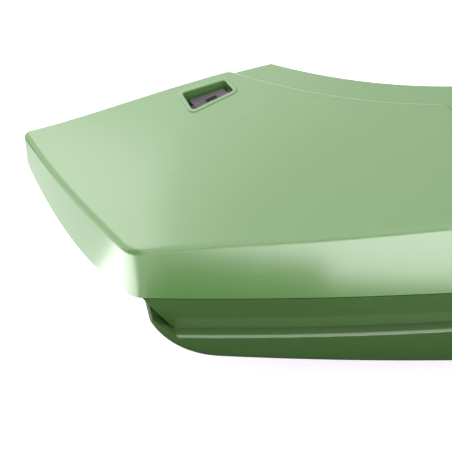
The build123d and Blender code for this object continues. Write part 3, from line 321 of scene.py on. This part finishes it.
RUBBER = (0.016, 0.016, 0.017)
RUBBER_DUST = (0.06, 0.058, 0.055)
FOAM_HOLLOW_SHADE = (0.035, 0.036, 0.04)
FOAM_WALL = (0.13, 0.13, 0.14)


def rubber(name):
    """Dark moulded rubber with dust in its grain."""
    finish = Finish(name)
    dusty = finish.noise(55.0, detail=5.0, roughness=0.65).rising(0.45, 0.8)
    grain = finish.noise(2200.0, detail=1.0)
    return finish.surface(
        Base_Color=finish.blend(dusty * 0.5, colour(*RUBBER), colour(*RUBBER_DUST)),
        Roughness=0.62 + dusty * 0.2,
        Normal=finish.relief(grain, 0.00002),
    )


def foam(name):
    """Grey foam with open cells about a millimetre wide, darker in the cell hollows as painted
    shade.
    """
    finish = Finish(name)
    given = {"Vector": finish.place, "Scale": 950.0}
    cells = finish.add("ShaderNodeTexVoronoi", None, given)["Distance"]
    wide = finish.noise(180.0, detail=3.0)
    return finish.surface(
        # The hollows of the cells are coloured darker than their walls: painted shade.
        Base_Color=finish.blend(cells * 0.9, colour(*FOAM_HOLLOW_SHADE), colour(*FOAM_WALL)),
        Roughness=0.9 + wide * 0.08,
        Normal=finish.relief(cells * 0.8 + wide * 0.2, 0.00035),
    )


black_moulding = moulding("black_moulding", (0.012, 0.012, 0.013))
hook_moulding = moulding("hook_moulding", (0.062, 0.048, 0.062), rough=0.42, pit=0.000015)
black_rubber = rubber("rubber_black")
grey_foam = foam("foam_grey")
print("made", black_moulding.name, hook_moulding.name, black_rubber.name, grey_foam.name)

# %% [markdown]
# ## Metals
# Zinc plate is a thin bright skin with a cloudy, slightly yellow-blue tint, and it dulls at
# wrench corners. Spring steel is dark from its phosphate bath. The stay is steel under black
# electro-coat, which chips along its bends. The heat shield is bare rolled sheet: fine lines in
# one direction, and a dimpled surface that stiffens it.

# %% Plated, phosphated, coated and rolled metal
def plated(name, dark, light, rough=0.24):
    """A thin metal skin with a cloudy tint between two shades."""
    finish = Finish(name)
    cloud = finish.noise(102.0, detail=4.0, roughness=0.6)
    fine = scratches(finish, (0.7, 0.1, 0.4), length=30.0, fineness=1500.0, width=0.03)
    return finish.surface(
        Base_Color=finish.blend(cloud, colour(*dark), colour(*light)),
        Metallic=1.0,
        Roughness=rough + cloud * 0.18 + fine * 0.1,
        Normal=finish.relief(cloud * 0.6 + fine * 0.4, 0.000008),
    )


ELECTRO_COAT = (0.014, 0.014, 0.015)
CHIPPED_STEEL = (0.38, 0.36, 0.34)
SHEET = (0.74, 0.74, 0.73)
SHEET_HEATED = (0.6, 0.52, 0.4)


def coated_steel(name):
    """Black electro-coat with chips down to the steel."""
    finish = Finish(name)
    peel = finish.noise(600.0, detail=2.0)
    chips = finish.noise(210.0, detail=5.0, roughness=0.7).rising(0.68, 0.7)
    return finish.surface(
        Base_Color=finish.blend(chips, colour(*ELECTRO_COAT), colour(*CHIPPED_STEEL)),
        Metallic=chips * 0.9,
        Roughness=0.36 + peel * 0.1 - chips * 0.05,
        Normal=finish.relief(peel * 0.4 - chips * 0.6, 0.00003),
    )


def rolled_sheet(name):
    """Bare rolled sheet, dimpled, and tinted where it runs hot."""
    finish = Finish(name)
    lane = finish.stretched((6.0, 900.0, 900.0))
    lines = finish.noise(1.0, detail=3.0, place=lane)
    dimples = finish.add("ShaderNodeTexVoronoi", {"feature": "SMOOTH_F1"},
                         {"Vector": finish.place, "Scale": 260.0, "Smoothness": 0.6})["Distance"]
    heat = finish.noise(18.0, detail=3.0).rising(0.45, 0.8)
    return finish.surface(
        Base_Color=finish.blend(heat * 0.7, colour(*SHEET), colour(*SHEET_HEATED)),
        Metallic=1.0,
        Roughness=0.26 + lines * 0.18 + heat * 0.1,
        Normal=finish.relief(dimples, 0.00035, finish.relief(lines, 0.000008)),
    )


zinc = plated("zinc_plate", (0.47, 0.46, 0.42), (0.7, 0.7, 0.69))
phosphate = plated("phosphated_steel", (0.05, 0.05, 0.052), (0.14, 0.14, 0.145), rough=0.38)
black_steel = coated_steel("electrocoated_steel")
shield_sheet = rolled_sheet("shield_sheet")
print("made", zinc.name, phosphate.name, black_steel.name, shield_sheet.name)

# %% [markdown]
# ## Putting the finishes on the CAD pieces
# A CAD piece keeps its mesh, and only its material slots change. One table says what each piece
# is made of, which is easier to read and to change than a line of code for every piece.

# %% Dress the CAD nodes
DRESS = {
    "side_cowl": paint_top, "seat_edge_rail": paint_top,
    "lower_trim": paint_low_shaded, "under_cowl": paint_low_shaded,
    "hook_housing": black_moulding, "luggage_hook": hook_moulding,
    "hook_pin": zinc, "hook_spring": phosphate, "hook_housing_screws": zinc,
    "rail_screws": zinc, "rail_washers": zinc, "trim_screws": zinc, "clip_nuts": phosphate,
    "push_clip_bodies": black_moulding, "mount_grommets": black_rubber, "mount_collars": zinc,
    "stay_bracket": black_steel, "stay_bolts": zinc, "stay_nuts": zinc,
    "heat_shield": shield_sheet, "heat_shield_rivets": shield_sheet,
    "foam_pads": grey_foam, "front_seal": black_rubber,
}


def dress(piece, material):
    """Give one piece its finish."""
    piece.data.materials.clear()
    piece.data.materials.append(material)


for name, piece in nodes.items():
    dress(piece, DRESS.get(name, black_moulding))       # the three clip pins aren't listed
print("dressed", len(nodes), "nodes")

# %% [markdown]
# ## Foam pads
# Two self-adhesive pads stop the cover from rattling on its frame. They are cut from cellular
# foam, so their edges are round and dented and their faces are pitted. A cloth simulation could
# crown them, but such a thin, stiff block hardly bulges. Here a fine, even mesh is wrapped round
# the plain block of the CAD model, relaxed until its edges are round, and roughened with small
# pits against its own normals. Pits only go inward, so the pad can't grow past its block.

# %% Foam pads from a fine, relaxed mesh
PAD_VOXEL = 0.0007      # spacing of the fine mesh
PAD_ROUNDS = 7          # rounds of relaxing
PAD_PIT = 0.00022       # depth of a pit
FINE_PITS = 900.0       # pits to a metre
WIDE_PITS = 260.0


def soft_copy(name, source, voxel, rounds, pit):
    """A relaxed and pitted copy of a plain block."""
    piece = nodes[source].copy()
    piece.data = nodes[source].data.copy()
    piece.name = name
    bpy.context.scene.collection.objects.link(piece)
    wrap = piece.modifiers.new("wrap", "REMESH")
    wrap.mode = "VOXEL"
    wrap.voxel_size = voxel
    relax = piece.modifiers.new("relax", "SMOOTH")
    relax.factor = 0.5
    relax.iterations = rounds
    settled = piece.evaluated_get(bpy.context.evaluated_depsgraph_get())
    shaped = bpy.data.meshes.new_from_object(settled)
    piece.modifiers.clear()
    piece.data = shaped
    form = bmesh.new()
    form.from_mesh(shaped)
    form.normal_update()
    for vert in form.verts:
        hollow = noise.noise(vert.co * FINE_PITS) * 0.7 + noise.noise(vert.co * WIDE_PITS) * 0.5
        vert.co -= vert.normal * pit * max(0.0, hollow)
    for face in form.faces:
        face.smooth = True
    form.to_mesh(shaped)
    form.free()
    return piece


foam_pads = soft_copy("anti_rattle_pads", "foam_pads", PAD_VOXEL, PAD_ROUNDS, PAD_PIT)
dress(foam_pads, grey_foam)
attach(foam_pads, "cowl")
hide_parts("foam_pads")
print("foam pads:", len(foam_pads.data.vertices), "points")

# %% [markdown]
# ## Floor and room
# The part lies just over a bright white table in a white room. The table glows a little, so that
# it reads as white paper and not as grey. It is kept out of the paint's own lighting, because a
# real table just under a part lies in its shade. The room is paler above than below.

# %% Floor and world
low, high = cad_box
middle = (low + high) / 2
FLOOR_SIZE = 12.0
FLOOR_GAP = 0.0005                  # from the lowest point of the part down to the table
FLOOR_GLOW = 0.5
PAPER = (0.84, 0.79, 0.87)
PAPER_SHADE = (0.83, 0.78, 0.86)
PAPER_GLOW = (1.0, 0.985, 1.0)
ROOM_WHITE = (1.0, 0.995, 1.0)
ROOM_ABOVE = 0.28
ROOM_BELOW = 0.1


def pale_floor():
    """White paper that glows a little, with a cool tint in its shade."""
    finish = Finish("pale_floor")
    wash = finish.noise(1.5, detail=2.0)
    return finish.surface(
        Base_Color=finish.blend(wash, colour(*PAPER), colour(*PAPER_SHADE)),
        Roughness=0.9,
        Emission_Color=colour(*PAPER_GLOW),
        Emission_Strength=FLOOR_GLOW,
    )


def make_floor(size):
    """A level sheet just under the lowest point of the part."""
    mesh = bpy.data.meshes.new("floor")
    half = size / 2
    corners = [(middle.x + sx * half, middle.y + sy * half, low.z - FLOOR_GAP)
               for sx, sy in ((-1, -1), (1, -1), (1, 1), (-1, 1))]
    mesh.from_pydata(corners, [], [(0, 1, 2, 3)])
    mesh.materials.append(pale_floor())
    sheet = bpy.data.objects.new("floor", mesh)
    bpy.context.scene.collection.objects.link(sheet)
    sheet.visible_diffuse = False
    sheet.visible_glossy = False
    sheet.visible_shadow = False


def make_room(above, below):
    """A white room, brighter above the horizon than below it."""
    room = bpy.data.worlds.new("pale_room")
    walls = NodeTree(room)
    way = walls.add("ShaderNodeTexCoord")["Generated"]
    height = walls.add("ShaderNodeSeparateXYZ", None, {"Vector": way})["Z"]
    given = {"Color": colour(*ROOM_WHITE), "Strength": height.rising(-0.25, 0.35, below, above)}
    glow = walls.add("ShaderNodeBackground", None, given)["Background"]
    walls.add("ShaderNodeOutputWorld", None, {"Surface": glow})
    bpy.context.scene.world = room


make_floor(FLOOR_SIZE)
make_room(ROOM_ABOVE, ROOM_BELOW)
bpy.context.scene.view_settings.view_transform = "Standard"
print("floor at", round(low.z, 4))

# %% [markdown]
# ## Light for paint
# Painted bodywork is lit by its reflections. A soft box behind and above puts a pale veil on the
# sloping flank, a smaller one beside it strengthens the veil towards the tail, and a tall one in
# front, with another past the tail, fills the rounded crease. A low one far behind draws thin
# bright lines on edges that turn away, such as the seat cut-out. Each looks at one point near
# the middle of the painted side.

# %% Soft boxes
AIM = Vector((-0.30, 0.095, -0.022))

# Azimuth and elevation in degrees, distance, width and height, radiance.
SOFT_BOXES = {
    "veil_box": (-165.0, 62.0, 1.2, (1.6, 1.5), 1.2),
    "tail_veil_box": (-150.0, 48.0, 1.2, (1.1, 1.1), 0.32),
    "crease_box": (0.0, 45.0, 1.2, (1.8, 2.1), 1.3),
    "tail_crease_box": (-105.0, 32.0, 1.2, (1.4, 2.0), 1.2),
    "rim_box": (178.0, 13.0, 1.3, (2.0, 0.55), 4.0),
}


def outward(azimuth, elevation):
    """Unit vector towards a place in the room; azimuth 0 is in front of the part."""
    swing = math.radians(azimuth)
    rise = math.radians(elevation)
    level = math.cos(rise)
    return Vector((math.sin(swing) * level, -math.cos(swing) * level, math.sin(rise)))


def soft_light(name, place, normal, size, radiance):
    """A rectangular light of a given radiance, which faces along its normal."""
    lamp = bpy.data.lights.new(name, "AREA")
    lamp.shape = "RECTANGLE"
    lamp.size, lamp.size_y = size
    lamp.energy = radiance * math.pi * size[0] * size[1]
    light = bpy.data.objects.new(name, lamp)
    light.location = place
    light.rotation_mode = "QUATERNION"
    light.rotation_quaternion = Vector(normal).to_track_quat("-Z", "Y")
    light.visible_camera = False
    bpy.context.scene.collection.objects.link(light)


for name, (azimuth, elevation, distance, size, radiance) in SOFT_BOXES.items():
    way = outward(azimuth, elevation)
    soft_light(name, AIM + way * distance, -way, size, radiance)
print("soft boxes:", len(SOFT_BOXES))

# %% [markdown]
# ## Glowing sheets on the table
# The upright band faces the table and mirrors it. Sheets of light on the table are simple to
# place, because each is a rectangle between two lines along the part and two across it. The
# front ones make a wedge on the band that widens forwards, and a wide one further out lights the
# lower half of the crease. The rounded rear corner gathers the sheets beside and behind the tail
# into an upright stripe. The camera doesn't see any of them.

# %% Table panels
TABLE = low.z + 0.001

# Left, right, near and far edge in metres, radiance.
TABLE_PANELS = {
    "front_panel": (-0.265, 0.15, -0.30, -0.10, 3.7),
    "front_strip": (-0.40, -0.265, -0.25, -0.122, 4.0),
    "far_panel": (-0.95, 0.45, -1.30, -0.30, 1.7),
    "side_panel": (-0.62, -0.39, -0.25, -0.035, 1.1),
    "tail_panel": (-1.30, -0.43, 0.118, 0.32, 1.3),
    "corner_panel": (-0.64, -0.43, -0.035, 0.118, 4.4),
}

for name, (left, right, near, far, radiance) in TABLE_PANELS.items():
    place = ((left + right) / 2, (near + far) / 2, TABLE)
    soft_light(name, place, (0, 0, 1), (right - left, far - near), radiance)
print("table panels:", len(TABLE_PANELS))

# %% [markdown]
# ## Camera
# The part is looked at from its outer side, a little from behind and well above, with a long
# lens, so that its edges hardly converge. The camera is placed by two angles and a distance
# from a point near the middle of the painted side.

# %% Camera
AZIMUTH = -12.0         # degrees, from straight in front
ELEVATION = 32.0
DISTANCE = 0.640
FIELD = 24.0            # degrees across the picture
NEAREST = 0.01

camera_data = bpy.data.cameras.new("camera")
camera_data.sensor_fit = "HORIZONTAL"
camera_data.angle = math.radians(FIELD)
camera_data.clip_start = NEAREST
camera = bpy.data.objects.new("camera", camera_data)
back = outward(AZIMUTH, ELEVATION)
camera.location = AIM + back * DISTANCE
camera.rotation_euler = (-back).to_track_quat("-Z", "Y").to_euler()
bpy.context.scene.collection.objects.link(camera)
bpy.context.scene.camera = camera
print("camera at", [round(x, 4) for x in camera.location])
